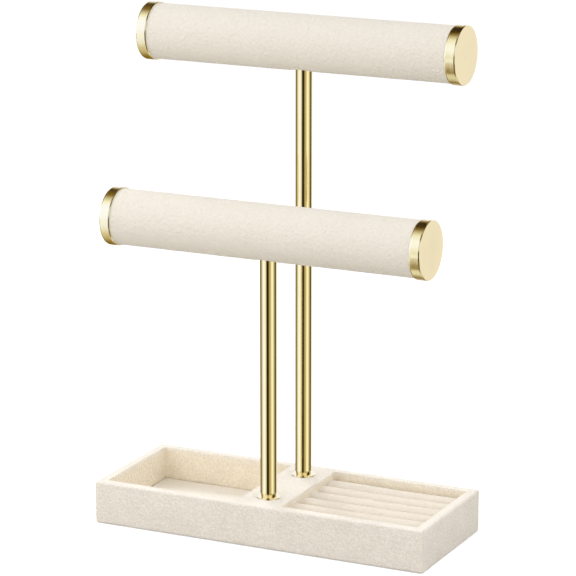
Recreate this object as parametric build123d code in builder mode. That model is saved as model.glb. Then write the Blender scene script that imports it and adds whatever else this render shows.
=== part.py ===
from build123d import *

import os
from math import radians, tan

# A bracelet and jewellery stand. Two velvet bars with brass-coloured caps swivel on two posts of
# different height, which stand one behind the other on the divider of a shallow velvet tray.
# Left of the divider is an open compartment, and right of it is a row of soft ring rolls.
# Millimetres, +X along the bars, -Y to the front, +Z up, origin under the middle of the tray.

# Velvet cloth glued over the tray boards and over both bars
velvet = 0.6

# Tray, finished sizes over the velvet
tray_width = 215.0
tray_depth = 86.0
tray_height = 26.0
tray_corner = 3.0
rim_round = 2.4
lip_round = 1.6
wall_board = 4.8
floor_thickness = 4.0
divider_width = 29.0

# Foam pad under the tray
pad_thickness = 0.8
pad_inset = 2.0

# Linings that lie in the two compartments
lining_gap = 0.3
liner_thickness = 1.2
ring_card_thickness = 1.5

# Ring rolls, with a round crown that is drawn in at both ends
roll_count = 6
roll_gap = 0.3
roll_crest_drop = 3.0
roll_crown_arc = 150.0
roll_tuck_length = 4.0
roll_tuck_drop = 1.2

# Posts, set in from the tray's long sides, their feet and the screws that hold them from below
post_inset = 19.0
post_diameter = 10.0
post_wall = 0.8
socket_depth = 12.0
socket_gap = 0.1
flange_diameter = 16.0
flange_thickness = 0.8
foot_plug_length = 14.0
foot_thread_length = 10.0
screw_diameter = 4.0
screw_gap = 0.05
screw_hole_gap = 0.3
screw_head_diameter = 7.5
screw_head_height = 2.4
screw_slot_width = 1.2
screw_slot_depth = 1.0
washer_diameter = 9.0
washer_thickness = 0.8
access_gap = 0.3

# Studs on the post tops, on which the bars swivel
stud_plug_length = 12.0
stud_collar = 1.5
stud_diameter = 6.0
stud_tip_gap = 1.0
running_gap = 0.05
swivel_gap = 0.1

# Bars, with their axis heights above the surface that the tray stands on
upper_bar_height = 291.0
lower_bar_height = 187.0
bar_length = 205.0
bar_diameter = 33.5
tube_wall = 2.5
post_entry = 5.0
entry_gap = 0.3
saddle_length = 34.0
bush_length = 16.0
bush_wall = 1.6

# Pressed metal cups on the bar ends
cap_wall = 0.7
cap_face = 0.9
cap_skirt = 6.5
cap_edge = 0.5

# Glue line between pieces that are fixed one inside the other
glue_gap = 0.05

# Levels and lines that the pieces share
floor_bottom = pad_thickness
floor_top = floor_bottom + floor_thickness
wall = wall_board + 2 * velvet
pocket_width = tray_width / 2 - wall - divider_width / 2
pocket_depth = tray_depth - 2 * wall
pocket_middle = divider_width / 2 + pocket_width / 2
post_radius = post_diameter / 2
post_bore = post_radius - post_wall
post_foot = tray_height - socket_depth
front_post_y = post_inset - tray_depth / 2
rear_post_y = tray_depth / 2 - post_inset
washer_bottom = floor_top - washer_thickness
access_radius = washer_diameter / 2 + access_gap
bar_radius = bar_diameter / 2
core_radius = bar_radius - velvet - glue_gap
core_bore = core_radius - tube_wall
core_length = bar_length - 2 * (cap_face + glue_gap)
entry_radius = post_radius + entry_gap
bush_radius = stud_diameter / 2 + running_gap + bush_wall

os.makedirs("parts", exist_ok=True)


def save(piece, label):
    """Names a finished piece and writes it as its own file."""
    piece.part.label = label
    export_step(piece.part, f"parts/{label}.step")


def upright(y):
    """The half plane through a post's axis: its x is the radius and its y is the height."""
    return Plane(origin=(0, y, 0), x_dir=(1, 0, 0), z_dir=(0, -1, 0))


def tray_form(skin):
    """The tray's outside, rim and pockets, drawn in by skin on every face that the cloth covers."""
    top = tray_height - skin
    with BuildPart() as form:
        with BuildSketch(Plane.XY.offset(floor_bottom)):
            RectangleRounded(tray_width - 2 * skin, tray_depth - 2 * skin, tray_corner - skin)
        extrude(amount=top - floor_bottom)
        rim = form.faces().sort_by(Axis.Z)[-1]
        fillet(rim.edges(), rim_round - skin)
        with BuildSketch(Plane.XY.offset(floor_top)):
            with Locations((-pocket_middle, 0), (pocket_middle, 0)):
                Rectangle(pocket_width + 2 * skin, pocket_depth + 2 * skin)
        extrude(amount=tray_height, mode=Mode.SUBTRACT)
        rim = form.faces().filter_by(Plane.XY).sort_by(Axis.Z)[-1]
        lips = [edge for wire in rim.inner_wires() for edge in wire.edges()]
        fillet(lips, lip_round - skin)
    return form.part


# The boards are cut from the tray's form without its cloth, so they meet edge to edge
board_form = tray_form(velvet)
board_height = tray_height - floor_top
inner_depth = tray_depth - 2 * (velvet + wall_board)
block_width = divider_width - 2 * velvet
end_wall_x = tray_width / 2 - velvet - wall_board / 2
long_wall_y = tray_depth / 2 - velvet - wall_board / 2

with BuildPart() as floor_board:
    add(board_form)
    with Locations((0, 0, floor_bottom)):
        Box(
            tray_width,
            tray_depth,
            floor_thickness,
            align=(Align.CENTER, Align.CENTER, Align.MIN),
            mode=Mode.INTERSECT,
        )
    with BuildSketch(Plane.XY.offset(floor_bottom)):
        with Locations((0, front_post_y), (0, rear_post_y)):
            Circle(access_radius)
    extrude(amount=floor_thickness, mode=Mode.SUBTRACT)
save(floor_board, "floor_board")

# Long walls run from corner to corner, and the end walls stand between them
wall_boards = {
    "front_wall_board": (0, -long_wall_y, tray_width, wall_board),
    "back_wall_board": (0, long_wall_y, tray_width, wall_board),
    "left_wall_board": (-end_wall_x, 0, wall_board, inner_depth),
    "right_wall_board": (end_wall_x, 0, wall_board, inner_depth),
}
for board_name, (board_x, board_y, board_width, board_depth) in wall_boards.items():
    with BuildPart() as wall_piece:
        add(board_form)
        with Locations((board_x, board_y, floor_top)):
            Box(
                board_width,
                board_depth,
                board_height,
                align=(Align.CENTER, Align.CENTER, Align.MIN),
                mode=Mode.INTERSECT,
            )
    save(wall_piece, board_name)

# Divider block, with a blind socket for each post and a screw hole under it
with BuildPart() as post_block:
    add(board_form)
    with Locations((0, 0, floor_top)):
        Box(
            block_width,
            inner_depth,
            board_height,
            align=(Align.CENTER, Align.CENTER, Align.MIN),
            mode=Mode.INTERSECT,
        )
    with BuildSketch(Plane.XY.offset(post_foot)):
        with Locations((0, front_post_y), (0, rear_post_y)):
            Circle(post_radius + socket_gap)
    extrude(amount=socket_depth, mode=Mode.SUBTRACT)
    with BuildSketch(Plane.XY.offset(floor_top)):
        with Locations((0, front_post_y), (0, rear_post_y)):
            Circle(screw_diameter / 2 + screw_hole_gap)
    extrude(amount=post_foot - floor_top, mode=Mode.SUBTRACT)
save(post_block, "post_block")

# One velvet skin over the outside, the rim, the divider and the pocket walls
with BuildPart() as tray_wrap:
    add(tray_form(0))
    add(board_form, mode=Mode.SUBTRACT)
    with BuildSketch(Plane.XY.offset(post_foot)):
        with Locations((0, front_post_y), (0, rear_post_y)):
            Circle(post_radius + socket_gap)
    extrude(amount=socket_depth, mode=Mode.SUBTRACT)
save(tray_wrap, "tray_wrap")

# Foam pad that the stand rests on, open under the two screws
with BuildPart() as base_pad:
    with BuildSketch():
        RectangleRounded(tray_width - 2 * pad_inset, tray_depth - 2 * pad_inset, tray_corner)
        with Locations((0, front_post_y), (0, rear_post_y)):
            Circle(access_radius, mode=Mode.SUBTRACT)
    extrude(amount=pad_thickness)
save(base_pad, "base_pad")

# Linings on the floor of the two compartments
lining_width = pocket_width - 2 * lining_gap
lining_depth = pocket_depth - 2 * lining_gap

with BuildPart() as trinket_liner:
    with BuildSketch(Plane(origin=(-pocket_middle, 0, floor_top))):
        Rectangle(lining_width, lining_depth)
    extrude(amount=liner_thickness)
    fillet(trinket_liner.edges().group_by(Axis.Z)[-1], velvet)
save(trinket_liner, "trinket_liner")

with BuildPart() as ring_card:
    with BuildSketch(Plane(origin=(pocket_middle, 0, floor_top))):
        Rectangle(lining_width, lining_depth)
    extrude(amount=ring_card_thickness)
save(ring_card, "ring_card")

# Ring rolls side by side on the card, numbered from the front
roll_bottom = floor_top + ring_card_thickness
roll_pitch = lining_depth / roll_count
roll_width = roll_pitch - roll_gap
roll_crest = tray_height - roll_crest_drop - roll_bottom
roll_half = roll_width / 2
roll_shoulder = roll_crest - roll_half * tan(radians(roll_crown_arc / 4))
roll_start = pocket_middle - lining_width / 2
roll_end = pocket_middle + lining_width / 2
roll_stations = [
    (roll_start, roll_tuck_drop),
    (roll_start + roll_tuck_length, 0),
    (roll_end - roll_tuck_length, 0),
    (roll_end, roll_tuck_drop),
]
for index in range(roll_count):
    roll_y = (index - (roll_count - 1) / 2) * roll_pitch
    with BuildPart() as ring_roll:
        for station_x, drop in roll_stations:
            left_shoulder = (-roll_half, roll_shoulder - drop)
            right_shoulder = (roll_half, roll_shoulder - drop)
            with BuildSketch(
                Plane(origin=(station_x, roll_y, roll_bottom), x_dir=(0, 1, 0), z_dir=(1, 0, 0))
            ):
                with BuildLine():
                    Polyline(left_shoulder, (-roll_half, 0), (roll_half, 0), right_shoulder)
                    ThreePointArc(right_shoulder, (0, roll_crest - drop), left_shoulder)
                make_face()
        loft(ruled=True)
    save(ring_roll, f"ring_roll_{index + 1}")


def make_post(name, y, bar_height):
    """A tube post with its foot flange and the stud that closes its top."""
    seat = bar_height - bar_radius + post_entry - swivel_gap
    tube_top = seat - stud_collar
    with BuildPart() as post:
        with BuildSketch(Plane(origin=(0, y, post_foot))):
            Circle(post_radius)
            Circle(post_bore, mode=Mode.SUBTRACT)
        extrude(amount=tube_top - post_foot)
    save(post, f"{name}_post")

    with BuildPart() as flange:
        with BuildSketch(Plane(origin=(0, y, tray_height))):
            Circle(flange_diameter / 2)
            Circle(post_radius + socket_gap, mode=Mode.SUBTRACT)
        extrude(amount=flange_thickness)
    save(flange, f"{name}_post_flange")

    plug_radius = post_bore - glue_gap
    pin_radius = stud_diameter / 2
    pin_top = seat + swivel_gap + bush_length - stud_tip_gap
    with BuildPart() as stud:
        with BuildSketch(upright(y)):
            with BuildLine():
                Polyline(
                    (0, tube_top - stud_plug_length),
                    (plug_radius, tube_top - stud_plug_length),
                    (plug_radius, tube_top),
                    (post_radius, tube_top),
                    (post_radius, seat),
                    (pin_radius, seat),
                    (pin_radius, pin_top),
                    (0, pin_top),
                    close=True,
                )
            make_face()
        revolve(axis=Axis((0, y, 0), (0, 0, 1)))
    save(stud, f"{name}_post_stud")


make_post("front", front_post_y, lower_bar_height)
make_post("rear", rear_post_y, upper_bar_height)

# Threaded plugs in the feet of the posts, with a washer and a screw under each
with BuildPart() as foot_plugs:
    with BuildSketch(Plane.XY.offset(post_foot)):
        with Locations((0, front_post_y), (0, rear_post_y)):
            Circle(post_bore - glue_gap)
            Circle(screw_diameter / 2 + screw_gap, mode=Mode.SUBTRACT)
    extrude(amount=foot_plug_length)
save(foot_plugs, "post_foot_plugs")

with BuildPart() as foot_washers:
    with BuildSketch(Plane.XY.offset(washer_bottom)):
        with Locations((0, front_post_y), (0, rear_post_y)):
            Circle(washer_diameter / 2)
            Circle(screw_diameter / 2 + screw_hole_gap, mode=Mode.SUBTRACT)
    extrude(amount=washer_thickness)
save(foot_washers, "post_foot_washers")

with BuildPart() as foot_screws:
    with BuildSketch(Plane.XY.offset(washer_bottom)):
        with Locations((0, front_post_y), (0, rear_post_y)):
            Circle(screw_diameter / 2)
    extrude(amount=post_foot + foot_thread_length - washer_bottom)
    with BuildSketch(Plane.XY.offset(washer_bottom)):
        with Locations((0, front_post_y), (0, rear_post_y)):
            Circle(screw_head_diameter / 2)
    extrude(amount=-screw_head_height)
    with BuildSketch(Plane.XY.offset(washer_bottom - screw_head_height)):
        with Locations((0, front_post_y), (0, rear_post_y)):
            Rectangle(screw_head_diameter, screw_slot_width)
    extrude(amount=screw_slot_depth, mode=Mode.SUBTRACT)
save(foot_screws, "post_foot_screws")


def make_cap(name, y, bar_height, side):
    """A cup over one end of a bar: side is -1 at the left end and 1 at the right end."""
    inside = core_length / 2 + glue_gap
    outside = bar_length / 2
    brim = outside - cap_skirt
    skirt_bore = bar_radius + glue_gap
    cap_radius = skirt_bore + cap_wall
    endwise = Plane(origin=(0, y, bar_height), x_dir=(0, 0, 1), z_dir=(0, side, 0))
    with BuildPart() as cap:
        with BuildSketch(endwise):
            with BuildLine():
                Polyline(
                    (0, inside),
                    (skirt_bore, inside),
                    (skirt_bore, brim),
                    (cap_radius, brim),
                    (cap_radius, outside),
                    (0, outside),
                    close=True,
                )
            make_face()
        revolve(axis=Axis((0, y, bar_height), (1, 0, 0)))
        outer_edge = cap.edges().filter_by(GeomType.CIRCLE).group_by(Axis.X)[-1 if side > 0 else 0]
        chamfer(outer_edge, cap_edge)
    save(cap, name)


def make_bar(name, y, bar_height):
    """A velvet bar: card tube, cloth, saddle block with its bush, and a cap on each end."""
    seat = bar_height - bar_radius + post_entry
    lengthwise = Plane(origin=(0, y, bar_height), x_dir=(0, 1, 0), z_dir=(1, 0, 0))
    underside = Plane(origin=(0, y, bar_height - bar_radius))

    with BuildPart() as core:
        with BuildSketch(lengthwise):
            Circle(core_radius)
            Circle(core_bore, mode=Mode.SUBTRACT)
        extrude(amount=core_length / 2, both=True)
        with BuildSketch(underside):
            Circle(entry_radius)
        extrude(amount=bar_radius, mode=Mode.SUBTRACT)
    save(core, f"{name}_bar_core")

    with BuildPart() as wrap:
        with BuildSketch(lengthwise):
            Circle(bar_radius)
            Circle(bar_radius - velvet, mode=Mode.SUBTRACT)
        extrude(amount=core_length / 2, both=True)
        with BuildSketch(underside):
            Circle(entry_radius)
        extrude(amount=bar_radius, mode=Mode.SUBTRACT)
    save(wrap, f"{name}_bar_wrap")

    with BuildPart() as saddle:
        with BuildSketch(lengthwise):
            Circle(core_bore - glue_gap)
        extrude(amount=saddle_length / 2, both=True)
        with BuildSketch(underside):
            Circle(entry_radius)
        extrude(amount=post_entry, mode=Mode.SUBTRACT)
        with BuildSketch(Plane(origin=(0, y, seat))):
            Circle(bush_radius + glue_gap)
        extrude(amount=bush_length, mode=Mode.SUBTRACT)
    save(saddle, f"{name}_saddle_block")

    with BuildPart() as bush:
        with BuildSketch(Plane(origin=(0, y, seat))):
            Circle(bush_radius)
            Circle(stud_diameter / 2 + running_gap, mode=Mode.SUBTRACT)
        extrude(amount=bush_length)
    save(bush, f"{name}_saddle_bush")

    make_cap(f"{name}_left_cap", y, bar_height, -1)
    make_cap(f"{name}_right_cap", y, bar_height, 1)


make_bar("upper", rear_post_y, upper_bar_height)
make_bar("lower", front_post_y, lower_bar_height)
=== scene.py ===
"""Looks for the jewellery stand: velvet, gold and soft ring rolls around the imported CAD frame."""

import logging
import math
from dataclasses import dataclass
from enum import Enum
from functools import lru_cache
from typing import ClassVar, NamedTuple

import bmesh
import bpy
from mathutils import Matrix, Vector, noise


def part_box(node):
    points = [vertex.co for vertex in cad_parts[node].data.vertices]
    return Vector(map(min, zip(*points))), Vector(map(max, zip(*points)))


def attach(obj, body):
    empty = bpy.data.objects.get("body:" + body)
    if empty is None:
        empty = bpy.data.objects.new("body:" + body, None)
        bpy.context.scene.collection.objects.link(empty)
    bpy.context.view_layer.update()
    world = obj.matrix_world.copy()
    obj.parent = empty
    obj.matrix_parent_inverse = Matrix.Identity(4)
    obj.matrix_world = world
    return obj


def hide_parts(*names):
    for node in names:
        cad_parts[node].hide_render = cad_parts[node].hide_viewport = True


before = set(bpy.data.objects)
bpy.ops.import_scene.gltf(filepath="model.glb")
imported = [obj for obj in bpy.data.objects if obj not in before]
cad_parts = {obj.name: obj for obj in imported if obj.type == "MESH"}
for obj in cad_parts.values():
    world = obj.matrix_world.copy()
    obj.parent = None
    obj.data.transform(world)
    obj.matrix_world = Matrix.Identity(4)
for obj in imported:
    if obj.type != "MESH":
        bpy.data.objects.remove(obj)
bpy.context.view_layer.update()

MM = 0.001
STAND = "stand"
POSTS = ("front", "rear")
WALLS = tuple(f"{side}_wall_board" for side in ("front", "back", "left", "right"))
# The point attribute for how deep in a pocket a point lies, which sets the painted pocket shade.
HOLLOW_SHADE = "hollow"
CAMERA_YAW = math.radians(25.65)
# Two places nearer to each other than this, in metres, are the same place.
NEAR = 1e-6
# How far up or down a flat face's normal points.
FLAT = 0.99
# Faces that turn by more than SHARP meet in a corner, and edges over CREASE are shaded crisp.
SHARP, CREASE = 1.0, math.radians(38)
# The direction in which a seed shifts a pattern of noise.
SEED_SHIFT = Vector((1.0, 2.3, -1.7))
DRILL_FACES = 64
DRILL_LENGTH = 4 * MM

Pair = tuple[float, float]
Triple = tuple[float, float, float]
Colour = Triple
Profile = list[Pair]
Mesh = bmesh.types.BMesh
Piece = bpy.types.Object
Material = bpy.types.Material
Tree = bpy.types.NodeTree
Node = bpy.types.Node
Socket = bpy.types.NodeSocket
log = logging.getLogger("jewellery_stand")


class Slot(Enum):
    """The record's material slots."""

    VELVET = "velvet"
    GOLD = "gold"
    MDF = "mdf"
    CARD = "card"
    FOAM = "foam_pad"
    STEEL = "steel"


class Axis(Enum):
    """The direction that a turned piece's axis takes."""

    ALONG_BAR = "X"
    UPRIGHT = "Z"


class Side(Enum):
    """The two ends of a bar."""

    LEFT = "left"
    RIGHT = "right"


class Panel(Enum):
    """The surfaces of the room that metal can mirror, by their colour."""

    GLARE = (0.68, 0.79, 1.20)
    WHITE = (0.675, 0.755, 0.93)
    WARM = (0.68, 0.745, 0.685)
    PALE = (0.59, 0.615, 0.56)
    AMBER = (0.35, 0.30, 0.15)
    UMBER = (0.15, 0.10, 0.008)
    DARK = (0.016, 0.007, 0.0)
    BACK = (0.61, 0.615, 0.63)
    SKY = (0.645, 0.70, 0.875)


class Rounding(NamedTuple):
    """How an edge is rounded: the radius in metres and the faces that span it."""

    radius: float
    segments: int


class Swell(NamedTuple):
    """How unevenly cloth lies: the most that a point moves and one swell's size, in metres."""

    height: float
    length: float
    seed: float


class Graph:
    """A node tree under construction, with short calls that add and join nodes."""

    def __init__(self, tree: Tree) -> None:
        """Takes the tree and empties it."""
        self.tree = tree
        tree.nodes.clear()

    def add(self, kind: str, settings: dict | None = None, inputs: dict | None = None) -> Node:
        """Adds one node.

        Args:
            kind: the node's type name without its ShaderNode.
            settings: attributes of the node.
            inputs: values or output sockets for its inputs, by name or number.

        Returns:
            The new node.
        """
        made = self.tree.nodes.new(f"ShaderNode{kind}")
        for name, value in (settings or {}).items():
            setattr(made, name, value)
        for name, value in (inputs or {}).items():
            socket = made.inputs[name]
            if isinstance(value, Socket):
                self.tree.links.new(value, socket)
            else:
                socket.default_value = (*value, 1.0) if socket.type == "RGBA" else value
        return made

    def math(self, operation: str, *values: object) -> Socket:
        """Adds a Math node and returns its result."""
        settings = {"operation": operation}
        return self.add("Math", settings, dict(enumerate(values))).outputs[0]

    def weigh(self, first: object, second: object, share: float) -> Socket:
        """Adds up two values, with the share of the second from 0 to 1."""
        kept = self.math("MULTIPLY", first, 1.0 - share)
        return self.math("ADD", kept, self.math("MULTIPLY", second, share))

    def mix(self, factor: object, first: object, second: object, blend: str = "MIX") -> Socket:
        """Adds a colour mix.

        Args:
            factor: the share of the second colour.
            first: the colour at 0.
            second: the colour at 1.
            blend: the blend type.

        Returns:
            The mixed colour's socket.
        """
        settings = {"data_type": "RGBA", "blend_type": blend}
        made = self.add("Mix", settings, {0: factor, 6: first, 7: second})
        return made.outputs[2]

    def ramp(self, factor: object, stops: list[tuple[float, Colour]]) -> Socket:
        """Adds a colour ramp.

        Args:
            factor: where on the ramp each point lies.
            stops: places from 0 to 1 with their colours.

        Returns:
            The ramp's colour socket.
        """
        made = self.add("ValToRGB", inputs={0: factor})
        made.color_ramp.interpolation = "LINEAR"
        elements = made.color_ramp.elements
        elements.remove(elements[1])
        for index, (place, colour) in enumerate(stops):
            stop = elements[0] if index == 0 else elements.new(place)
            stop.position = place
            stop.color = (*colour, 1.0)
        return made.outputs[0]

    def spread(self, value: object, span: Pair, to: Pair = (0.0, 1.0)) -> Socket:
        """Adds a smooth map of a value from one span to another."""
        inputs = dict(enumerate((value, *span, *to)))
        return self.add("MapRange", {"interpolation_type": "SMOOTHSTEP"}, inputs).outputs[0]

    def grain(self, vector: object, scale: object, detail: float, roughness: float = 0.5) -> Socket:
        """Adds a noise texture and returns its value."""
        inputs = {"Vector": vector, "Scale": scale, "Detail": detail, "Roughness": roughness}
        return self.add("TexNoise", inputs=inputs).outputs[0]

    def stretched(self, vector: object, stretch: object) -> Socket:
        """Stretches a place by its own factor in each direction."""
        settings = {"operation": "MULTIPLY"}
        return self.add("VectorMath", settings, {0: vector, 1: stretch}).outputs[0]

    def arc(self, across: Socket, ahead: Socket, stops: list[tuple[float, Colour]]) -> Socket:
        """Paints colours by the angle in one plane.

        Args:
            across: the ray's part that grows with the angle.
            ahead: the ray's part away from angle zero.
            stops: angles in degrees with their colours.

        Returns:
            The colour's socket.
        """
        angle = self.math("ARCTAN2", across, self.math("MULTIPLY", ahead, -1.0))
        turn = self.math("ADD", self.math("DIVIDE", angle, math.tau), 0.5)
        return self.ramp(turn, [(place / 360 + 0.5, colour) for place, colour in stops])

    def split_rays(self, unseen: Node, seen: Node) -> Socket:
        """Mixes two shaders by the rays that meet them.

        Args:
            unseen: the shader for rays between surfaces.
            seen: the shader for rays from the camera, also through something clear.

        Returns:
            The mixed shader's socket.
        """
        rays = self.add("LightPath").outputs
        share = self.math("MAXIMUM", rays["Is Camera Ray"], rays["Is Transmission Ray"])
        inputs = {0: share, 1: unseen.outputs[0], 2: seen.outputs[0]}
        return self.add("MixShader", inputs=inputs).outputs[0]


def new_group(name: str, inputs: dict[str, str], outputs: dict[str, str]) -> tuple[Graph, dict, dict]:
    """Starts a shader node group.

    Args:
        name: the group's name.
        inputs: the kinds of its input sockets, by name.
        outputs: the kinds of its output sockets, by name.

    Returns:
        The group's graph, its input sockets by name and the sockets of its output node.
    """
    tree = bpy.data.node_groups.new(name, "ShaderNodeTree")
    for direction, sockets in (("INPUT", inputs), ("OUTPUT", outputs)):
        for socket, kind in sockets.items():
            socket_type = f"NodeSocket{kind}"
            tree.interface.new_socket(name=socket, in_out=direction, socket_type=socket_type)
    graph = Graph(tree)
    given, result = (tree.nodes.new(f"NodeGroup{kind}") for kind in ("Input", "Output"))
    return graph, given.outputs, result.inputs


@lru_cache
def nap_group() -> Tree:
    """Short pile that leans in patches: its colour and its height.

    Returns:
        The group.
    """
    graph, given, result = new_group(
        "Velvet nap",
        {
            "Vector": "Vector", "Light": "Color", "Shade": "Color", "Patch": "Float",
            "Mottle": "Float", "Pile": "Float", "Crush": "Float", "Crushed": "Float",
        },
        {"Color": "Color", "Height": "Float"},
    )
    place = given["Vector"]
    patch = graph.grain(place, given["Patch"], detail=2.0)
    mottle = graph.grain(place, given["Mottle"], detail=3.0, roughness=0.62)
    pile = graph.grain(place, given["Pile"], detail=2.0)
    lean = graph.weigh(patch, mottle, share=0.82)
    fleck = graph.weigh(lean, pile, share=0.25)
    light = graph.spread(fleck, span=(0.40, 0.60))
    graph.tree.links.new(graph.mix(light, given["Shade"], given["Light"]), result["Color"])
    tuft = graph.weigh(mottle, pile, share=0.3)
    crush = graph.grain(place, given["Crush"], detail=1.0)
    graph.tree.links.new(graph.mix(given["Crushed"], tuft, crush), result["Height"])
    return graph.tree


@lru_cache
def hairline_group() -> Tree:
    """Fine polishing lines and a slow cloud over bare metal: a mask and a height.

    Returns:
        The group.
    """
    graph, given, result = new_group(
        "Polishing lines",
        {"Vector": "Vector", "Stretch": "Vector", "Cloud": "Float"},
        {"Mask": "Float", "Height": "Float"},
    )
    place = graph.stretched(given["Vector"], given["Stretch"])
    lines = graph.grain(place, 1.0, detail=3.0, roughness=0.6)
    cloud = graph.grain(given["Vector"], given["Cloud"], detail=2.0)
    mask = graph.weigh(lines, cloud, share=0.3)
    graph.tree.links.new(graph.spread(mask, span=(0.3, 0.7)), result["Mask"])
    graph.tree.links.new(lines, result["Height"])
    return graph.tree


@lru_cache
def fibre_group() -> Tree:
    """Pressed fibres or closed cells: a colour and a height.

    Returns:
        The group.
    """
    graph, given, result = new_group(
        "Pressed fibres",
        {"Vector": "Vector", "Stretch": "Vector", "Light": "Color", "Shade": "Color"},
        {"Color": "Color", "Height": "Float"},
    )
    place = graph.stretched(given["Vector"], given["Stretch"])
    fibres = graph.grain(place, 1.0, detail=4.0, roughness=0.7)
    light = graph.spread(fibres, span=(0.35, 0.65))
    graph.tree.links.new(graph.mix(light, given["Shade"], given["Light"]), result["Color"])
    graph.tree.links.new(fibres, result["Height"])
    return graph.tree


def start_material(name: str, group: Tree, inputs: dict) -> tuple[Material, Graph, Node]:
    """Starts a material on one effect group that reads Object coordinates.

    Args:
        name: the material's name.
        group: the effect's node group.
        inputs: values for the group's inputs.

    Returns:
        The material, its graph and the placed group node.
    """
    material = bpy.data.materials.new(name)
    material.use_nodes = True
    graph = Graph(material.node_tree)
    place = graph.add("TexCoord").outputs["Object"]
    effect = graph.add("Group", {"node_tree": group}, {"Vector": place} | inputs)
    return material, graph, effect


def close_material(graph: Graph, height: Socket, relief: Pair, surface: dict) -> None:
    """Ends a material with a bump and a Principled shader.

    Args:
        graph: the material's graph.
        height: the surface's height.
        relief: the bump's strength and its depth in metres.
        surface: values or sockets for the shader's inputs.
    """
    strength, depth = relief
    inputs = {"Strength": strength, "Distance": depth, "Height": height}
    normal = graph.add("Bump", inputs=inputs).outputs[0]
    shader = graph.add("BsdfPrincipled", inputs={"Normal": normal} | surface)
    graph.add("OutputMaterial", inputs={"Surface": shader.outputs[0]})


@dataclass(frozen=True)
class Velvet:
    """A short-pile cream velvet. Scales are per metre, and sheen is its weight and roughness."""

    name: str
    light: Colour
    shade: Colour
    patch: float = 70.0
    mottle: float = 640.0
    pile: float = 2600.0
    crush: float = 480.0
    crushed: float = 0.0
    relief: Pair = (0.3, 0.0005)
    roughness: float = 0.95
    specular: float = 0.15
    sheen: Pair = (1.0, 0.25)
    sheen_tint: Colour = (1.0, 0.96, 0.90)
    # deep: painted shade, multiplied into the colour deep in the pockets in place of shade and light
    # bounced among the walls.
    deep: Colour | None = None
    slot: Slot = Slot.VELVET

    def material(self) -> Material:
        """Builds the velvet's material.

        Returns:
            The material.
        """
        inputs = {
            "Light": self.light, "Shade": self.shade, "Patch": self.patch, "Mottle": self.mottle,
            "Pile": self.pile, "Crush": self.crush, "Crushed": self.crushed,
        }
        material, graph, nap = start_material(self.name, nap_group(), inputs)
        colour = nap.outputs["Color"]
        # Painted shade: deeper in the pockets the colour is multiplied darker and warmer.
        if self.deep:
            depth = graph.add("Attribute", {"attribute_name": HOLLOW_SHADE}).outputs["Fac"]
            hollow_shade_colour = graph.mix(1.0, colour, self.deep, "MULTIPLY")
            colour = graph.mix(depth, colour, hollow_shade_colour)
        weight, sheen_roughness = self.sheen
        surface = {
            "Base Color": colour, "Roughness": self.roughness, "Specular IOR Level": self.specular,
            "Sheen Weight": weight, "Sheen Roughness": sheen_roughness, "Sheen Tint": self.sheen_tint,
        }
        close_material(graph, nap.outputs["Height"], self.relief, surface)
        return material


@dataclass(frozen=True)
class Metal:
    """A plated or bare metal with polishing lines."""

    name: str
    light: Colour
    shade: Colour
    stretch: Triple
    gloss: Pair
    relief: Pair = (0.05, 0.0001)
    cloud: float = 60.0
    slot: Slot = Slot.GOLD

    def material(self) -> Material:
        """Builds the metal's material.

        Returns:
            The material.
        """
        inputs = {"Stretch": self.stretch, "Cloud": self.cloud}
        material, graph, lines = start_material(self.name, hairline_group(), inputs)
        mask = lines.outputs["Mask"]
        surface = {
            "Base Color": graph.mix(mask, self.shade, self.light),
            "Metallic": 1.0,
            "Roughness": graph.spread(mask, (0.0, 1.0), self.gloss),
        }
        close_material(graph, lines.outputs["Height"], self.relief, surface)
        return material


@dataclass(frozen=True)
class Fibre:
    """A dry board, card or foam."""

    name: str
    light: Colour
    shade: Colour
    stretch: Triple
    slot: Slot
    relief: Pair = (0.3, 0.0003)
    roughness: float = 0.85
    specular: float = 0.25

    def material(self) -> Material:
        """Builds the board's material.

        Returns:
            The material.
        """
        inputs = {"Stretch": self.stretch, "Light": self.light, "Shade": self.shade}
        material, graph, fibres = start_material(self.name, fibre_group(), inputs)
        surface = {
            "Base Color": fibres.outputs["Color"],
            "Roughness": self.roughness,
            "Specular IOR Level": self.specular,
        }
        close_material(graph, fibres.outputs["Height"], self.relief, surface)
        return material


Finish = Velvet | Metal | Fibre

# The tray velvet's deep colour is painted shade inside the pockets.
TRAY_VELVET = Velvet(
    "tray_velvet", (0.945, 0.887, 0.804), (0.809, 0.749, 0.665), mottle=1150.0, pile=3600.0,
    crush=620.0, crushed=0.7, relief=(0.8, 0.0009), deep=(1.0, 0.970, 0.880),
)
LINING_VELVET = Velvet("lining_velvet", (0.900, 0.842, 0.758), (0.838, 0.778, 0.690))
BAR_VELVET = Velvet(
    "bar_velvet", (0.877, 0.826, 0.738), (0.851, 0.797, 0.706), crush=560.0, crushed=0.95,
    relief=(0.8, 0.0010), sheen=(0.5, 0.35),
)
# The same velvet as the tray's, made darker and more tan: painted shade for the rolls in the ring recess.
ROLL_VELVET_SHADED = Velvet("roll_velvet_shaded", (0.822, 0.752, 0.655), (0.775, 0.704, 0.608))

GOLD_LIGHT: Colour = (0.950, 0.815, 0.510)
GOLD_SHADE: Colour = (0.900, 0.755, 0.440)
BRASS_SHADE: Colour = (0.72, 0.56, 0.27)
POST_GOLD = Metal("post_gold", GOLD_LIGHT, GOLD_SHADE, (900.0, 900.0, 14.0), (0.05, 0.11))
CAP_GOLD = Metal("cap_gold", GOLD_LIGHT, GOLD_SHADE, (3200.0, 40.0, 40.0), (0.14, 0.24), (0.12, 0.0001))
FITTING_BRASS = Metal("fitting_brass", GOLD_LIGHT, BRASS_SHADE, (300.0, 300.0, 2400.0), (0.25, 0.4))
ZINC = Metal(
    "zinc_plate", (0.66, 0.67, 0.68), (0.50, 0.51, 0.52), (700.0, 700.0, 700.0), (0.28, 0.45),
    slot=Slot.STEEL,
)

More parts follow.
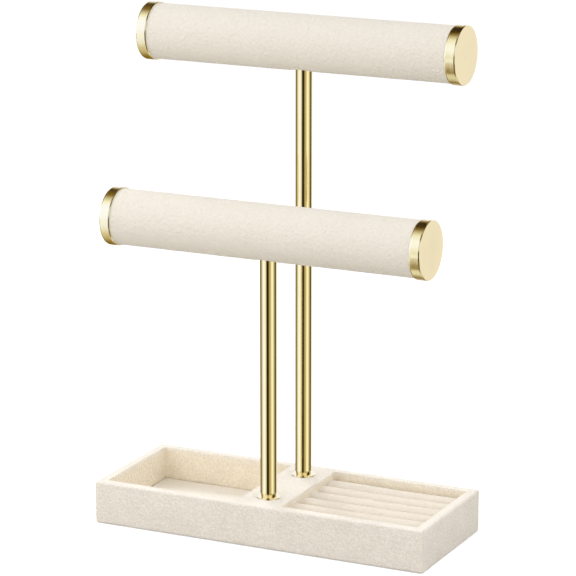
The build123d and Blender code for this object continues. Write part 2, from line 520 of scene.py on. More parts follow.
FIBREBOARD = Fibre("fibreboard", (0.56, 0.40, 0.24), (0.40, 0.27, 0.15), (900.0, 900.0, 1600.0), Slot.MDF)
GREY_CARD = Fibre("grey_card", (0.50, 0.42, 0.32), (0.38, 0.31, 0.23), (500.0, 1500.0, 1500.0), Slot.CARD)
FOAM = Fibre("pad_foam", (0.36, 0.345, 0.32), (0.26, 0.25, 0.23), (2600.0, 2600.0, 2600.0), Slot.FOAM)


@lru_cache
def material_of(finish: Finish) -> Material:
    """Returns a finish's material, which is built once."""
    return finish.material()


def solid_box(low: Vector, high: Vector) -> Mesh:
    """Starts a mesh as the box between two corners.

    Args:
        low: the lowest corner.
        high: the highest corner.

    Returns:
        The box.
    """
    bm = bmesh.new()
    bmesh.ops.create_cube(bm, size=1.0)
    bmesh.ops.scale(bm, vec=high - low, verts=bm.verts)
    bmesh.ops.translate(bm, vec=(low + high) / 2, verts=bm.verts)
    return bm


def round_edges(bm: Mesh, edges: list, rounding: Rounding) -> None:
    """Rounds some edges.

    Args:
        bm: the mesh.
        edges: the edges to round.
        rounding: the radius and the faces that span it.
    """
    bmesh.ops.bevel(
        bm, geom=edges, offset=rounding.radius, segments=rounding.segments, profile=0.5,
        affect="EDGES", material=-1, clamp_overlap=True,
    )


def cut_across(bm: Mesh, place: Vector, normal: Vector) -> None:
    """Cuts every face of a mesh along a plane."""
    geom = [*bm.verts, *bm.edges, *bm.faces]
    bmesh.ops.bisect_plane(bm, geom=geom, dist=NEAR, plane_co=place, plane_no=normal)


def slice_evenly(bm: Mesh, step: float) -> None:
    """Cuts every face along planes about a step apart in all three directions.

    Args:
        bm: the mesh.
        step: the distance between two cuts in metres.
    """
    for index in range(3):
        places = [vert.co[index] for vert in bm.verts]
        low, high = min(places), max(places)
        count = max(1, round((high - low) / step))
        normal = Vector(1.0 if axis == index else 0.0 for axis in range(3))
        for number in range(1, count):
            cut_across(bm, normal * (low + (high - low) * number / count), normal)


def ruffle(bm: Mesh, swell: Swell) -> None:
    """Moves a skin in and out a little, as glued cloth lies.

    Args:
        bm: the mesh.
        swell: the pattern's height, size and seed.
    """
    bm.normal_update()
    shift = swell.seed * SEED_SHIFT
    moves = [noise.noise(vert.co / swell.length + shift) * swell.height for vert in bm.verts]
    for vert, move in zip(bm.verts, moves):
        vert.co += vert.normal * move


def held(profile: Profile, hold: float) -> Profile:
    """Adds points to a closed profile's straight runs, which keep their shading straight.

    Args:
        profile: radius and height of each corner.
        hold: the distance of the new points from the corners.

    Returns:
        The profile with its new points.
    """
    points = []
    for first, second in zip(profile, profile[1:] + profile[:1]):
        points.append(first)
        length = math.dist(first, second)
        if length > 3 * hold:
            for share in (hold / length, 1 - hold / length):
                points.append(tuple(a + (b - a) * share for a, b in zip(first, second)))
    return points


def turned(profile: Profile, steps: int, axis: Axis, place: Vector) -> Mesh:
    """Turns a profile on a lathe.

    Args:
        profile: radius and height of each corner, in a closed loop or from axis to axis.
        steps: faces around the axis.
        axis: the direction of the finished piece's axis.
        place: where the axis's zero height sits.

    Returns:
        The turned shape.
    """
    bm = bmesh.new()
    corners = [bm.verts.new((radius, 0.0, height)) for radius, height in profile]
    lines = [bm.edges.new(pair) for pair in zip(corners, corners[1:])]
    if profile[0][0] > 0.0:
        lines.append(bm.edges.new((corners[-1], corners[0])))
    bmesh.ops.spin(
        bm, geom=corners + lines, cent=(0, 0, 0), axis=(0, 0, 1), angle=math.tau, steps=steps,
        use_merge=True,
    )
    bmesh.ops.remove_doubles(bm, verts=bm.verts, dist=NEAR / 10)
    bmesh.ops.recalc_face_normals(bm, faces=bm.faces)
    upright = axis is Axis.UPRIGHT
    turn = Matrix.Identity(4) if upright else Matrix.Rotation(math.pi / 2, 4, "Y")
    bmesh.ops.transform(bm, matrix=Matrix.Translation(place) @ turn, verts=bm.verts)
    return bm


def sharp_edges(bm: Mesh) -> list:
    """The edges of a mesh where two faces meet in a corner."""
    pairs = [edge for edge in bm.edges if len(edge.link_faces) == 2]
    return [edge for edge in pairs if edge.calc_face_angle() > SHARP]


def link_object(name: str, data: bpy.types.ID) -> Piece:
    """Makes an object from its mesh, camera or lamp and links it to the scene."""
    bpy.context.scene.collection.objects.link(made := bpy.data.objects.new(name, data))
    return made


def aim_object(target: Piece, place: Vector, ahead: Vector) -> None:
    """Puts a camera or a lamp at a place and points it ahead."""
    target.location = place
    target.rotation_euler = ahead.to_track_quat("-Z", "Y").to_euler()


def as_object(bm: Mesh, name: str, crease: float = CREASE) -> Piece:
    """Makes a smooth-shaded object from a bmesh.

    Args:
        bm: the mesh, which is freed.
        name: the object's name.
        crease: edges that turn by more than this angle stay crisp.

    Returns:
        The new object, linked to the scene.
    """
    bm.normal_update()
    for face in bm.faces:
        face.smooth = True
    for edge in bm.edges:
        edge.smooth = len(edge.link_faces) != 2 or edge.calc_face_angle() < crease
    mesh = bpy.data.meshes.new(name)
    bm.to_mesh(mesh)
    bm.free()
    return link_object(name, mesh)


def middle_at(node: str, height: float) -> Vector:
    """The middle of a CAD node seen from above, at a height."""
    low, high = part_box(node)
    return Vector(((low.x + high.x) / 2, (low.y + high.y) / 2, height))


def post_places(height: float) -> list[Vector]:
    """The middles of both posts at a height, the front one first."""
    return [middle_at(f"{name}_post", height) for name in POSTS]


def drill(target: Piece, middles: list[Vector], radius: float, length: float = DRILL_LENGTH) -> None:
    """Cuts upright round holes in a closed piece.

    Args:
        target: the piece.
        middles: the middle of each hole.
        radius: the holes' radius.
        length: how far the drill reaches, half of it above the middle and half below.
    """
    for middle in middles:
        bm = bmesh.new()
        bmesh.ops.create_cone(
            bm, cap_ends=True, segments=DRILL_FACES, radius1=radius, radius2=radius,
            depth=length, matrix=Matrix.Translation(middle),
        )
        bit = as_object(bm, "drill_bit")
        hole = target.modifiers.new("Hole", "BOOLEAN")
        hole.operation, hole.solver, hole.object = "DIFFERENCE", "EXACT", bit
        apply_modifiers(target)
        bpy.data.objects.remove(bit)


def apply_modifiers(target: Piece) -> None:
    """Replaces a piece's mesh by what its modifiers make of it.

    Args:
        target: the piece.
    """
    shown = target.evaluated_get(bpy.context.evaluated_depsgraph_get())
    old, target.data = target.data, bpy.data.meshes.new_from_object(shown)
    target.modifiers.clear()
    bpy.data.meshes.remove(old)


def dress(piece: Piece, finish: Finish, body: str, *nodes: str) -> None:
    """Gives a new piece its finish, its body and the CAD nodes that it stands for.

    Args:
        piece: the new piece.
        finish: its finish.
        body: the CAD body that it rides on.
        nodes: the CAD nodes that it replaces.
    """
    piece.data.materials.clear()
    piece.data.materials.append(material_of(finish))
    piece.visible_glossy = isinstance(finish, Metal)
    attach(piece, body)
    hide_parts(*nodes)
    log.info("%s stands for %s", piece.name, ", ".join(nodes))


@dataclass
class TrayCover:
    """The velvet skin over the tray's outside, rim, divider and pocket walls."""

    corner: Rounding = Rounding(1.3 * MM, 7)
    pocket_corner: Rounding = Rounding(0.8 * MM, 3)
    rim: Rounding = Rounding(1.5 * MM, 7)
    lip: Rounding = Rounding(1.4 * MM, 6)
    turn_under: Rounding = Rounding(0.9 * MM, 4)
    hem: float = 0.3 * MM
    thickness: float = 0.6 * MM
    wall: float = 6.0 * MM
    divider: float = 29.0 * MM
    socket: float = 5.1 * MM
    slack: float = 0.1 * MM
    # The painted pocket shade: how far in from a pocket's edge it starts, and the depths below the rim
    # over which it ramps in.
    hollow_edge: float = 0.4 * MM
    hollow_shade_depths: Pair = (0.6 * MM, 3.0 * MM)
    swells: tuple[Swell, ...] = (Swell(0.09 * MM, 11.0 * MM, 3.1), Swell(0.045 * MM, 4.4 * MM, 7.7))
    step: float = 2.2 * MM
    flat: Pair = (0.268, 0.139)
    flat_area: float = 0.0345

    def measure(self) -> None:
        """Reads the tray's outline from the CAD skin."""
        self.low, self.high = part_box("tray_wrap")
        self.pocket_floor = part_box("trinket_liner")[0].z
        self.inner_x = self.divider / 2
        self.outer_x = self.high.x - self.wall
        self.outer_y = self.high.y - self.wall

    def over_pocket(self, place: Vector) -> bool:
        """Whether a place on the tray's top lies over one of its pockets."""
        return self.inner_x < abs(place.x) < self.outer_x and abs(place.y) < self.outer_y

    def within(self, place: Vector) -> bool:
        """Whether a place lies on or inside the outer walls of the pockets."""
        reach = self.slack
        return abs(place.x) < self.outer_x + reach and abs(place.y) < self.outer_y + reach

    def block(self) -> Mesh:
        """Starts from a block and sinks the two pockets.

        Returns:
            The block with its pockets, open at the bottom of each.
        """
        bm = solid_box(Vector((self.low.x, self.low.y, self.hem)), self.high)
        across, deep = Vector((1, 0, 0)), Vector((0, 1, 0))
        for place in (self.inner_x, self.outer_x):
            for side in (-1, 1):
                cut_across(bm, side * place * across, across)
        for side in (-1, 1):
            cut_across(bm, side * self.outer_y * deep, deep)
        top = [face for face in bm.faces if face.normal.z > FLAT]
        openings = [face for face in top if self.over_pocket(face.calc_center_median())]
        sunk = bmesh.ops.extrude_face_region(bm, geom=openings)["geom"]
        verts = [item for item in sunk if isinstance(item, bmesh.types.BMVert)]
        bmesh.ops.translate(bm, vec=(0, 0, self.pocket_floor - self.high.z), verts=verts)
        floors = [item for item in sunk if isinstance(item, bmesh.types.BMFace)]
        bmesh.ops.delete(bm, geom=floors + openings, context="FACES_ONLY")
        bm.normal_update()
        return bm

    def corner_edges(self, bm: Mesh, pockets: bool, height: float | None = None) -> list:
        """Finds the corner edges of the outside or of the pockets.

        Args:
            bm: the tray's mesh.
            pockets: whether the pockets' edges are wanted, and not the outside ones.
            height: the level of the edges, or none for the upright ones.

        Returns:
            The edges.
        """
        found = []
        for edge in sharp_edges(bm):
            first, second = (vert.co for vert in edge.verts)
            if height is None:
                fits = abs(first.z - second.z) > MM
            else:
                fits = max(abs(first.z - height), abs(second.z - height)) < NEAR
            if fits and self.within((first + second) / 2) == pockets:
                found.append(edge)
        return found

    def form(self) -> Mesh:
        """Forms the skin's outer face, with its rounded edges and its uneven lie.

        Returns:
            The outer face.
        """
        bm = self.block()
        round_edges(bm, self.corner_edges(bm, pockets=False), self.corner)
        round_edges(bm, self.corner_edges(bm, pockets=True), self.pocket_corner)
        for height, pockets, rounding in (
            (self.high.z, False, self.rim),
            (self.high.z, True, self.lip),
            (self.hem, False, self.turn_under),
        ):
            bm.normal_update()
            round_edges(bm, self.corner_edges(bm, pockets, height), rounding)
        bm.normal_update()
        down = [face for face in bm.faces if face.normal.z < -FLAT]
        under = [face for face in down if face.calc_center_median().z < self.hem + NEAR]
        bmesh.ops.delete(bm, geom=under, context="FACES")
        slice_evenly(bm, self.step)
        for swell in self.swells:
            ruffle(bm, swell)
        return bm

    def mark_hollow_shade(self, skin: Piece) -> None:
        """Marks how deep in a pocket each point lies, for the painted shade there: the velvet colour made
        darker and warmer in place of light bounced among the pocket walls.

        Args:
            skin: the skin.
        """
        mark = skin.data.attributes.new(HOLLOW_SHADE, "FLOAT", "POINT")
        start, end = self.hollow_shade_depths
        inward = [Vector((side * self.hollow_edge, -self.hollow_edge, 0)) for side in (-1, 1)]
        for vert, value in zip(skin.data.vertices, mark.data):
            place = Vector((abs(vert.co.x), abs(vert.co.y), 0))
            depth = (self.high.z - vert.co.z - start) / (end - start)
            inside = any(self.over_pocket(place + move) for move in inward)
            value.value = min(max(depth, 0.0), 1.0) if inside else 0.0

    def build(self) -> None:
        """Builds and dresses the skin."""
        self.measure()
        skin = as_object(self.form(), "tray_velvet_skin")
        shell = skin.modifiers.new("Thickness", "SOLIDIFY")
        shell.thickness, shell.offset, shell.use_even_offset = self.thickness, -1.0, True
        apply_modifiers(skin)
        drill(skin, post_places(self.high.z), self.socket)
        self.mark_hollow_shade(skin)
        dress(skin, TRAY_VELVET, STAND, "tray_wrap")


@dataclass
class TrinketLining:
    """The velvet-covered card on the floor of the open compartment."""

    edge: Rounding = Rounding(0.7 * MM, 4)
    overlap: float = 0.2 * MM
    step: float = 3.0 * MM
    swell: Swell = Swell(0.12 * MM, 17.0 * MM, 5.3)

    def build(self) -> None:
        """Builds and dresses the lining."""
        low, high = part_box("trinket_liner")
        spare = Vector((self.overlap, self.overlap, 0))
        bm = solid_box(low - spare, high + spare)
        top = [edge for edge in bm.edges if all(vert.co.z > high.z - NEAR for vert in edge.verts)]
        round_edges(bm, top, self.edge)
        slice_evenly(bm, self.step)
        ruffle(bm, self.swell)
        piece = as_object(bm, "trinket_lining")
        dress(piece, LINING_VELVET, STAND, "trinket_liner")


@dataclass
class RingCushion:
    """Six foam rolls in velvet, swelled by a cloth simulation at ten times their size."""

    count: int = 6
    slim: float = 0.95 * MM
    spare: float = 0.1 * MM
    drop: float = 0.55 * MM
    crown: Rounding = Rounding(5.0 * MM, 7)
    end_round: Rounding = Rounding(2.0 * MM, 3)
    step: float = 1.7 * MM
    uneven: Swell = Swell(0.03 * MM, 9.0 * MM, 11.0)
    seed_step: float = 3.7
    reach: float = 0.35 * MM
    glued_height: float = 1.2 * MM
    enlarge: float = 10.0
    pressure: float = 3.0
    cloth_quality: int = 6
    cloth_mass: float = 0.15
    cloth_growth: float = 0.06
    frames: int = 20
    fill: float = 0.8

    def blank(self, low: Vector, high: Vector) -> Mesh:
        """Makes the slack roll that the pressure fills.

        Args:
            low: the CAD roll's lowest corner.
            high: its highest corner.

        Returns:
            The slack roll, a little smaller than the CAD roll.
        """
        low = low + Vector((-self.spare, self.slim, 0))
        high = high - Vector((-self.spare, self.slim, self.drop))
        bm = solid_box(low, high)
        crests = []
        for edge in bm.edges:
            first, second = (vert.co for vert in edge.verts)
            if min(first.z, second.z) > high.z - NEAR and abs(first.x - second.x) > MM:
                crests.append(edge)
        round_edges(bm, crests, self.crown)
        ends = sharp_edges(bm)
        tops = [edge for edge in ends if max(vert.co.z for vert in edge.verts) > low.z + MM]
        round_edges(bm, tops, self.end_round)
        slice_evenly(bm, self.step)
        return bm

    def swell(self, roll: Piece, floor: float) -> None:
        """Fills a slack roll by a cloth simulation and keeps the result.

        Args:
            roll: the slack roll.
            floor: the height of the card that it is glued to.
        """
        rest = [vert.co.copy() for vert in roll.data.vertices]
        middle = sum(rest, Vector()) / len(rest)
        for vert in roll.data.vertices:
            vert.co = (vert.co - middle) * self.enlarge
        level = floor + self.glued_height
        glued = roll.vertex_groups.new(name="glued")
        glued.add([index for index, place in enumerate(rest) if place.z < level], 1.0, "REPLACE")
        cloth = roll.modifiers.new("Filling", "CLOTH")
        cloth.settings.quality = self.cloth_quality
        cloth.settings.mass = self.cloth_mass
        cloth.settings.vertex_group_mass = glued.name
        cloth.settings.use_pressure = True
        cloth.settings.uniform_pressure_force = self.pressure
        cloth.settings.shrink_min = -self.cloth_growth
        cloth.settings.effector_weights.gravity = 0.0
        cloth.point_cache.frame_end = self.frames
        scene = bpy.context.scene
        for step in range(1, self.frames + 1):
            scene.frame_set(step)
        apply_modifiers(roll)
        scene.frame_set(1)
        roll.vertex_groups.clear()
        for vert, old in zip(roll.data.vertices, rest):
            move = vert.co / self.enlarge + middle - old
            vert.co = old + move * min(1.0, self.reach / max(move.length, NEAR * MM))

    def build(self) -> None:
        """Builds, fills and dresses the rolls, which are numbered from the front."""
        for number in range(1, self.count + 1):
            node = f"ring_roll_{number}"
            low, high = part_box(node)
            bm = self.blank(low, high)
            seed = self.uneven.seed + self.seed_step * number
            ruffle(bm, self.uneven._replace(seed=seed))
            for vert in bm.verts:
                vert.co.z = max(vert.co.z, low.z)
            roll = as_object(bm, f"velvet_roll_{number}", crease=math.pi)
            self.swell(roll, low.z)
            smooth = roll.modifiers.new("Smooth", "SUBSURF")
            smooth.levels = smooth.render_levels = 1
            dress(roll, ROLL_VELVET_SHADED, STAND, node)


@dataclass
class Post:
    """A polished tube post and the thin collar around its foot."""

    name: str
    steps: int = 96
    wall: float = 0.8 * MM
    neck_step: float = 0.25 * MM
    neck_taper: float = 0.4 * MM
    neck_height: float = 2.4 * MM
    edge: Rounding = Rounding(0.1 * MM, 2)
    edge_hold: float = 0.4 * MM
    collar_height: float = 0.45 * MM
    collar_edge: Rounding = Rounding(0.12 * MM, 4)
    collar_hold: float = 0.192 * MM
    collar_trim: float = 0.8 * MM
    collar_gap: float = 0.02 * MM

    def measure(self) -> None:
        """Reads the post's and the collar's sizes from the CAD nodes."""
        self.node, self.flange = f"{self.name}_post", f"{self.name}_post_flange"
        self.low, self.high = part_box(self.node)
        self.radius = (self.high.x - self.low.x) / 2
        self.foot = self.radius - self.neck_step - self.neck_taper
        low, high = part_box(self.flange)
        self.ground, self.collar_top = low.z, low.z + self.collar_height
        self.collar_radius = (high.x - low.x) / 2 - self.collar_trim

    def tube(self) -> None:
        """Builds and dresses the tube."""
        bore, neck = self.radius - self.wall, self.radius - self.neck_step
        shoulder = self.collar_top + self.neck_height
        profile = [
            (self.foot, self.low.z), (self.foot, self.collar_top), (neck, shoulder),
            (self.radius, shoulder), (self.radius, self.high.z), (bore, self.high.z),
            (bore, self.low.z),
        ]
        place = middle_at(self.node, 0.0)
        bm = turned(held(profile, self.edge_hold), self.steps, Axis.UPRIGHT, place)
        round_edges(bm, sharp_edges(bm), self.edge)
        dress(as_object(bm, f"{self.name}_post_tube"), POST_GOLD, STAND, self.node)

    def collar(self) -> None:
        """Builds and dresses the collar around the foot."""
        low, high = self.ground, self.collar_top
        radius, bore = self.collar_radius, self.foot + self.collar_gap
        profile = [(radius, low), (radius, high), (bore, high), (bore, low)]
        place = middle_at(self.flange, 0.0)
        bm = turned(held(profile, self.collar_hold), self.steps, Axis.UPRIGHT, place)
        top = [edge for edge in sharp_edges(bm) if edge.verts[0].co.z > high - NEAR]
        round_edges(bm, top, self.collar_edge)
        dress(as_object(bm, f"{self.name}_post_collar"), POST_GOLD, STAND, self.flange)

    def build(self) -> None:
        """Builds the tube and its collar."""
        self.measure()
        self.tube()
        self.collar()


@dataclass
class Bar:
    """One velvet bar with a gold cup on each end."""

    name: str
    seed: float
    steps: int = 120
    length_step: float = 2.0 * MM
    velvet: float = 0.6 * MM
    entry: float = 5.3 * MM
    dimple: float = 0.5 * MM
    dimple_reach: float = 4.0 * MM
    swell: float = 0.07 * MM
    swell_length: float = 9.0 * MM
    cup_steps: int = 240
    cup_wall: float = 0.7 * MM
    cup_face: float = 0.9 * MM
    cup_crease: float = math.radians(12)
    rim_run: float = 0.6 * MM
    rim_drop: float = 0.21 * MM
    rim_tip: float = 0.14 * MM

    def measure(self) -> None:
        """Reads the bar's axis, radius and length from the CAD cloth."""
        self.body = f"{self.name}_bar"
        self.low, self.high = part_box(f"{self.name}_bar_wrap")
        self.radius = (self.high.z - self.low.z) / 2
        self.axis = (self.low + self.high) / 2

    def sleeve(self) -> None:
        """Builds and dresses the velvet around the bar."""
        half = (self.high.x - self.low.x) / 2
        count = round(2 * half / self.length_step)
        outside = [(self.radius, -half + 2 * half * index / count) for index in range(count + 1)]
        inside = [(self.radius - self.velvet, half), (self.radius - self.velvet, -half)]
        bm = turned(outside + inside, self.steps, Axis.ALONG_BAR, self.axis)
        piece = as_object(bm, f"{self.name}_bar_sleeve")
        below = self.axis - Vector((0, 0, self.radius))
        drill(piece, [below], self.entry, self.radius)
        self.settle(piece)
        dress(piece, BAR_VELVET, self.body, f"{self.name}_bar_wrap")

    def settle(self, piece: Piece) -> None:
        """Draws the velvet in around the post and lets it lie a little uneven.

        Args:
            piece: the sleeve.
        """
        bm = bmesh.new()
        bm.from_mesh(piece.data)
        shift = Vector((self.seed, 0, 0))
        for vert in bm.verts:
            spoke = Vector((0, vert.co.y - self.axis.y, vert.co.z - self.axis.z))
            if spoke.length < self.radius - self.velvet / 2:
                continue
            outward = spoke.normalized()
            wave = noise.noise(vert.co / self.swell_length + shift) * self.swell
            off_axis = math.hypot(vert.co.x - self.axis.x, vert.co.y - self.axis.y)
            aside = off_axis - self.entry
            pull = 0.0
            if outward.z < 0 and aside < self.dimple_reach:
                pull = self.dimple * (1 - max(aside, 0.0) / self.dimple_reach) ** 2
            vert.co += outward * (wave - pull)
        bm.to_mesh(piece.data)
        bm.free()

    def cup(self, side: Side) -> None:
        """Builds and dresses the cup on one end.

        Args:
            side: the bar's end.
        """
        node = f"{self.name}_{side.value}_cap"
        low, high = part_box(node)
        brim, face = (low.x, high.x) if side is Side.RIGHT else (high.x, low.x)
        out = math.copysign(1.0, face)
        inside = face - out * self.cup_face
        radius = (high.z - low.z) / 2
        bore, lip = radius - self.cup_wall, radius - self.rim_drop
        profile = [
            (0.0, inside), (bore, inside), (bore, brim), (lip, brim),
            (radius, brim + out * self.rim_run),
            (radius, face - out * (self.rim_run + self.rim_tip)),
            (lip, face - out * self.rim_tip), (lip - self.rim_tip, face), (0.0, face),
        ]
        place = Vector((0, self.axis.y, self.axis.z))
        bm = turned(profile, self.cup_steps, Axis.ALONG_BAR, place)
        piece = as_object(bm, f"{self.name}_{side.value}_cup", self.cup_crease)
        dress(piece, CAP_GOLD, self.body, node)

    def build(self) -> None:
        """Builds the sleeve and both cups."""
        self.measure()
        self.sleeve()
        for side in Side:
            self.cup(side)


@dataclass
class Carcass:
    """The boards, fittings and foam pad, most of them hidden under the velvet."""

    pad_corner: Rounding = Rounding(3.0 * MM, 6)
    pad_edge: Rounding = Rounding(0.25 * MM, 3)
    pad_hole: float = 4.8 * MM
    pad_fill: float = 1.0
    kept_nodes: ClassVar[dict[Finish, tuple[str, ...]]] = {
        FIBREBOARD: (*WALLS, "floor_board", "post_block", "upper_saddle_block", "lower_saddle_block"),
        GREY_CARD: ("ring_card", "upper_bar_core", "lower_bar_core"),
        FITTING_BRASS: (
            "front_post_stud", "rear_post_stud", "post_foot_plugs", "upper_saddle_bush",
            "lower_saddle_bush",
        ),
        ZINC: ("post_foot_washers", "post_foot_screws"),
    }

    def dress_nodes(self) -> None:
        """Gives each CAD node that stays its finish."""
        for finish, nodes in self.kept_nodes.items():
            for name in nodes:
                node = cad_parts[name]
                node.data.materials.clear()
                node.data.materials.append(material_of(finish))
                node.visible_glossy = False
                log.info("%s keeps its CAD shape in %s", name, finish.name)

    def pad(self) -> None:
        """Builds and dresses the foam pad under the tray."""
        low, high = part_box("base_pad")
        bm = solid_box(low, high)
        upright = [edge for edge in bm.edges if edge.verts[0].co.xy == edge.verts[1].co.xy]
        round_edges(bm, upright, self.pad_corner)
        under = [edge for edge in bm.edges if all(vert.co.z < low.z + NEAR for vert in edge.verts)]
        round_edges(bm, under, self.pad_edge)
        piece = as_object(bm, "foam_pad_sheet")
        drill(piece, post_places((low.z + high.z) / 2), self.pad_hole)
        for face in piece.data.polygons:
            face.use_smooth = abs(face.normal.z) < FLAT
        dress(piece, FOAM, STAND, "base_pad")

    def build(self) -> None:
        """Dresses the hidden pieces and builds the pad."""
        self.dress_nodes()
        self.pad()


@dataclass
class Viewpoint:
    """The photograph's camera, taken as 576 pixels square."""

    yaw: float = CAMERA_YAW
    pitch: float = math.radians(14.36)
    distance: float = 1.78895
    lens: float = 189.59
    sensor: float = 36.0
    clip: Pair = (0.05, 50.0)
    aim_height: float = 0.150
    aim_right: float = 0.97 * MM
    aim_up: float = -1.74 * MM

    def build(self) -> None:
        """Places the camera."""
        flat, drop = math.cos(self.pitch), -math.sin(self.pitch)
        ahead = Vector((-math.sin(self.yaw) * flat, math.cos(self.yaw) * flat, drop))
        right = ahead.cross(Vector((0, 0, 1))).normalized()
        up = right.cross(ahead)
        aim = Vector((0, 0, self.aim_height)) + right * self.aim_right + up * self.aim_up
        data = bpy.data.cameras.new("photo_camera")
        data.lens, data.sensor_width, data.sensor_fit = self.lens, self.sensor, "HORIZONTAL"
        data.clip_start, data.clip_end = self.clip
        camera = link_object("photo_camera", data)
        aim_object(camera, aim - ahead * self.distance, ahead)
        bpy.context.scene.camera = camera


@dataclass(frozen=True)
class Softbox:
    """A soft lamp aimed at the stand, with or without a grid, which metal doesn't mirror."""

    name: str
    place: Triple
    size: Pair
    power: float
    aim_height: float
    spread: float = 180.0

    def build(self) -> None:
        """Hangs the lamp."""
        data = bpy.data.lights.new(self.name, "AREA")
        data.shape, data.energy, data.spread = "RECTANGLE", self.power, math.radians(self.spread)
        data.size, data.size_y = self.size
        lamp = link_object(self.name, data)
        place = Vector(self.place)
        aim_object(lamp, place, Vector((0, 0, self.aim_height)) - place)
        lamp.visible_glossy = False


Stops = tuple[tuple[Panel | float, ...], ...]


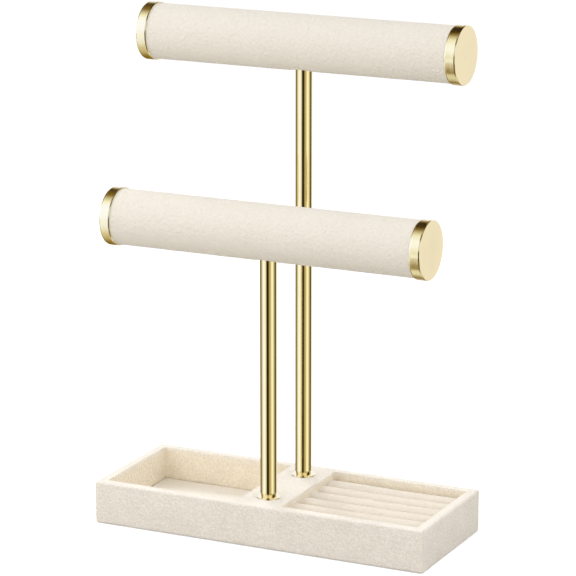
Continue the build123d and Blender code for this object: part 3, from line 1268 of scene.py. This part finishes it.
@dataclass
class Studio:
    """A white room with soft light, and the soft panels that the metal mirrors.

    Each panel has its one or two edges in degrees: around the room by their bearing from the
    camera's own side, over the stand by the angle across the bars. The left end has its own vault.
    """

    yaw: float = CAMERA_YAW
    room_light: float = 0.725
    room_white: Colour = (1.0, 1.0, 1.0)
    floor_size: float = 6.0
    floor_bounce: Colour = (0.525, 0.506, 0.468)
    floor_paper: Colour = (0.96, 0.96, 0.96)
    floor_lift: float = 0.34
    panel_strength: float = 1.6
    lamps: tuple[Softbox, ...] = (
        Softbox("front_softbox", (-0.20, -0.80, 0.42), (1.0, 0.6), 1.5, 0.20),
        Softbox("left_softbox", (-0.85, -0.25, 0.55), (1.1, 0.9), 3.5, 0.03),
        Softbox("right_softbox", (0.85, -0.25, 0.55), (1.1, 0.9), 2.1, 0.03),
        Softbox("rear_left_grid", (-0.62, 0.60, 0.80), (0.60, 0.20), 0.098, 0.026, 12.0),
        Softbox("rear_right_grid", (0.50, 0.66, 0.80), (0.60, 0.20), 0.050, 0.026, 12.0),
    )
    around: Stops = (
        (Panel.BACK, -161), (Panel.DARK, -155, -141), (Panel.AMBER, -104), (Panel.WHITE, -76, -57),
        (Panel.PALE, -39), (Panel.DARK, -23, -2), (Panel.AMBER, 15, 25), (Panel.WARM, 46, 58),
        (Panel.AMBER, 80), (Panel.DARK, 106, 121), (Panel.BACK, 125),
    )
    over: Stops = (
        (Panel.BACK, -164), (Panel.UMBER, -118), (Panel.PALE, -90, -76), (Panel.UMBER, -67, -50),
        (Panel.AMBER, -34), (Panel.PALE, 2), (Panel.WHITE, 25, 42), (Panel.PALE, 66),
        (Panel.UMBER, 90), (Panel.DARK, 104, 134), (Panel.AMBER, 150), (Panel.SKY, 159),
    )
    over_left: Stops = (
        (Panel.BACK, -164), (Panel.UMBER, -146, -113), (Panel.AMBER, -83), (Panel.PALE, -57),
        (Panel.WHITE, -42), (Panel.GLARE, -18, 50), (Panel.WHITE, 61), (Panel.PALE, 72),
        (Panel.UMBER, 97), (Panel.DARK, 138), (Panel.AMBER, 150), (Panel.SKY, 159),
    )
    # The left vault ends by the ray's part along the bars, the ring's foot and top by its height.
    left_end: Pair = (-0.444, -0.404)
    ring_foot: Pair = (-0.37, -0.31)
    ring_top: Pair = (-0.16, -0.08)
    # Where the ring also shows behind the camera, by bearing and then by the ray's height.
    gap: tuple[Pair, ...] = ((-36, 0.0), (-26, 1.0), (8, 1.0), (18, 0.0))
    gap_heights: tuple[Pair, ...] = (
        (-0.60, 0.6), (-0.50, 1.0), (0.04, 1.0), (0.14, 0.3), (0.60, 0.3), (0.75, 1.0)
    )

    def panels(self, graph: Graph) -> Socket:
        """Paints the soft panels and dark gaps around the room, for mirror-like surfaces.

        Args:
            graph: the world's graph.

        Returns:
            The colour that a mirrored ray sees.
        """
        falling = (1.0, 0.0)
        ray = graph.add("TexCoord").outputs["Generated"]
        bearing = {"Vector": ray, "Rotation": (0, 0, -self.yaw)}
        turned_ray = graph.add("Mapping", inputs=bearing).outputs[0]
        seen = graph.add("SeparateXYZ", inputs={0: turned_ray}).outputs
        plain = graph.add("SeparateXYZ", inputs={0: ray}).outputs
        around, over, over_left = (
            [(place, panel.value) for panel, *edges in stops for place in edges]
            for stops in (self.around, self.over, self.over_left)
        )
        ring = graph.arc(seen["X"], seen["Y"], around)
        vault = graph.arc(plain["Z"], plain["Y"], over)
        left_vault = graph.arc(plain["Z"], plain["Y"], over_left)
        left = graph.spread(plain["X"], self.left_end, falling)
        vault = graph.mix(left, vault, left_vault)
        foot = graph.spread(plain["Z"], self.ring_foot)
        level = graph.math("MULTIPLY", foot, graph.spread(plain["Z"], self.ring_top, falling))
        gap = [(place, (share,) * 3) for place, share in self.gap]
        height = graph.math("ADD", graph.math("MULTIPLY", plain["Z"], 0.5), 0.5)
        heights = [(place / 2 + 0.5, (share,) * 3) for place, share in self.gap_heights]
        behind = graph.arc(seen["X"], seen["Y"], gap)
        behind = graph.math("MULTIPLY", behind, graph.ramp(height, heights))
        return graph.mix(graph.math("MAXIMUM", level, behind), vault, ring)

    def world(self) -> None:
        """Makes the room: white to the camera, even for soft surfaces, panelled for mirrors."""
        world = bpy.data.worlds.new("white_room")
        world.use_nodes = True
        bpy.context.scene.world = world
        graph = Graph(world.node_tree)
        even = graph.add("Background", inputs={0: self.room_white, 1: self.room_light})
        plain = graph.add("Background", inputs={0: self.room_white})
        panelled = {0: self.panels(graph), 1: self.panel_strength}
        mirrored = graph.add("Background", inputs=panelled)
        glossy = graph.add("LightPath").outputs["Is Glossy Ray"]
        mix = {0: glossy, 1: even.outputs[0], 2: mirrored.outputs[0]}
        soft = graph.add("MixShader", inputs=mix)
        graph.add("OutputWorld", inputs={"Surface": graph.split_rays(soft, plain)})

    def floor(self) -> None:
        """Lays the pale floor, which the camera sees as white with the stand's shadow."""
        bm = bmesh.new()
        bmesh.ops.create_grid(bm, x_segments=1, y_segments=1, size=self.floor_size / 2)
        floor = as_object(bm, "pale_floor")
        material = bpy.data.materials.new("pale_floor")
        material.use_nodes = True
        graph = Graph(material.node_tree)
        bounce, paper = (
            graph.add("BsdfDiffuse", inputs={"Color": colour})
            for colour in (self.floor_bounce, self.floor_paper)
        )
        lift = graph.add("Emission", inputs={"Strength": self.floor_lift})
        white = graph.add("AddShader", inputs={0: paper.outputs[0], 1: lift.outputs[0]})
        surface = graph.split_rays(bounce, white)
        graph.add("OutputMaterial", inputs={"Surface": surface})
        floor.data.materials.append(material)
        floor.visible_glossy = False

    def build(self) -> None:
        """Makes the room, the lamps and the floor."""
        bpy.context.scene.view_settings.view_transform = "Standard"
        self.world()
        for lamp in self.lamps:
            lamp.build()
        self.floor()


def main() -> None:
    """Builds the scene from the camera to the smallest fitting."""
    logging.basicConfig(level=logging.INFO, format="%(message)s")
    Viewpoint().build()
    Studio().build()
    Carcass().build()
    TrayCover().build()
    TrinketLining().build()
    RingCushion().build()
    for name in POSTS:
        Post(name).build()
    Bar("upper", seed=2.9).build()
    Bar("lower", seed=8.3).build()


if __name__ == "__main__":
    main()
